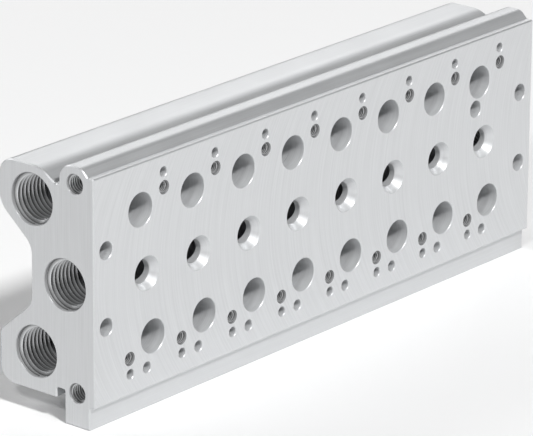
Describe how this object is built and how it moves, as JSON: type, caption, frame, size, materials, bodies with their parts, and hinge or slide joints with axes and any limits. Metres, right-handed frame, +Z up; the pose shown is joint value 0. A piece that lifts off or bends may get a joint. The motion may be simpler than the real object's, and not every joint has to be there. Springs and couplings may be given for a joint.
{
  "type": "connection block",
  "caption": "Long metal connection block with channels along its length, threaded ports in both ends, and rows of valve ports and screw holes drilled into its front face.",
  "frame": {"origin": "centre of the four corner mounting holes, on the front face", "axes": "+X along the block towards its right end, -Y out of the front face, +Z up"},
  "size_m": [0.1724, 0.0306, 0.0661],
  "materials": {
    "aluminium": "satin, extruded along its length, with machined front and end faces"
  },
  "bodies": {
    "root": {"manifold_block": "aluminium"}
  },
  "joints": []
}
